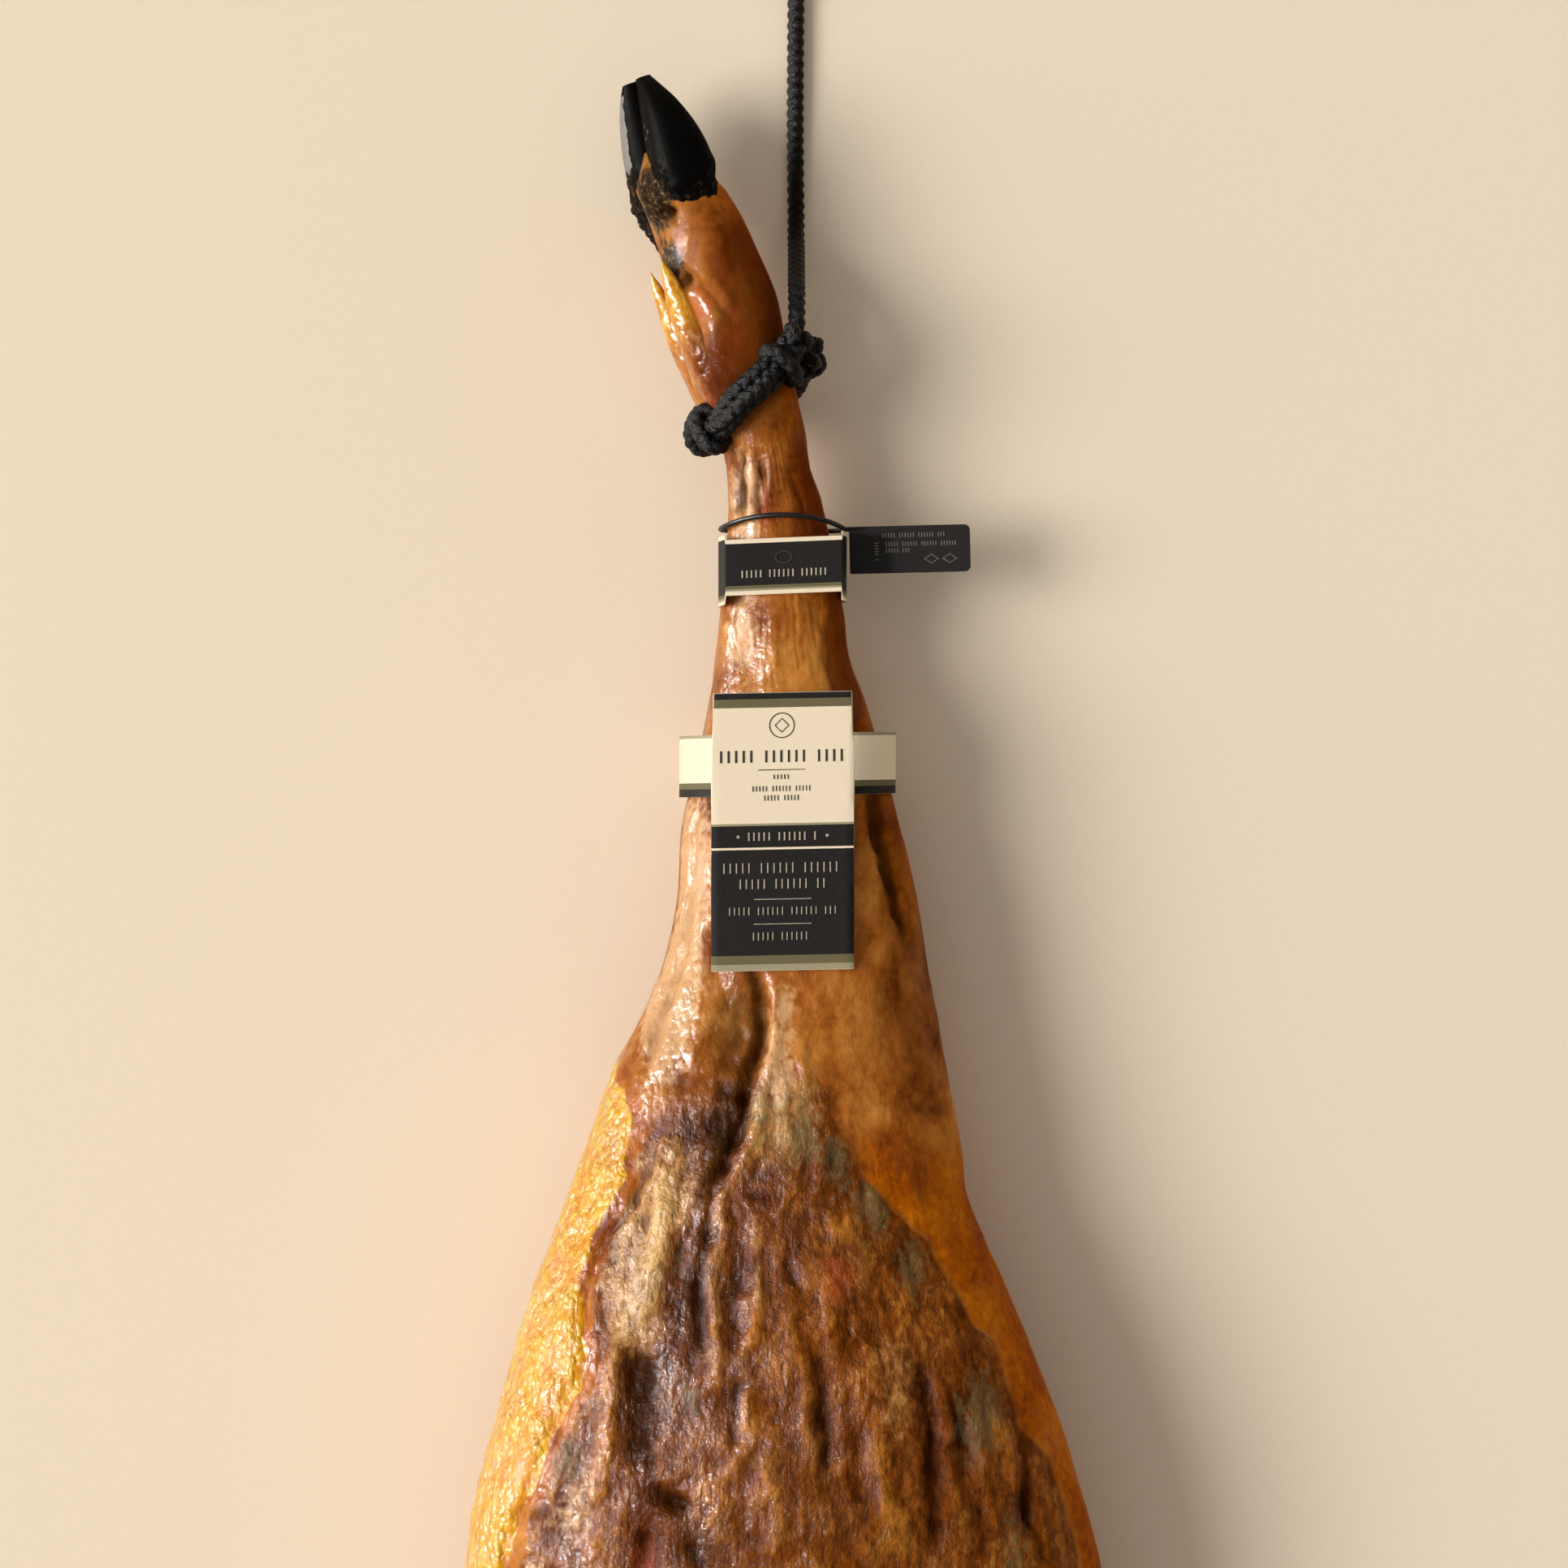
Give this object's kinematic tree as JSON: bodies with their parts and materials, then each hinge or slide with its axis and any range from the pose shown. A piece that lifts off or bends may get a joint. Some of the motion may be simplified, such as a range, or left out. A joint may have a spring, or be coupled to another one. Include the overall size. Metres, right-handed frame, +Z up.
{
  "type": "cured ham",
  "caption": "Whole bone-in cured ham with its hoof, lying on its skin side, with a rope noose at the shank, two printed cards and a strap seal.",
  "frame": {"origin": "on the surface the ham lies on, under the middle of the ham's length and width", "axes": "+Y from the rump to the toes, +Z up from the skin side to the meat face"},
  "size_m": [0.282, 0.9197, 0.12],
  "materials": {
    "cured_ham": "oily satin, cured meat, fat and skin",
    "black_rope": "braided synthetic rope with a slight sheen",
    "dark_card": "matt printed card",
    "label_card": "matt printed card",
    "seal_plastic": "moulded plastic, glossy strap and matt flag"
  },
  "bodies": {
    "root": {"ham": "cured_ham", "rope_noose": "black_rope", "rope_lead": "black_rope", "rope_eye": "black_rope", "shank_band": "dark_card", "front_label": "label_card", "quality_seal": "seal_plastic"}
  },
  "joints": []
}
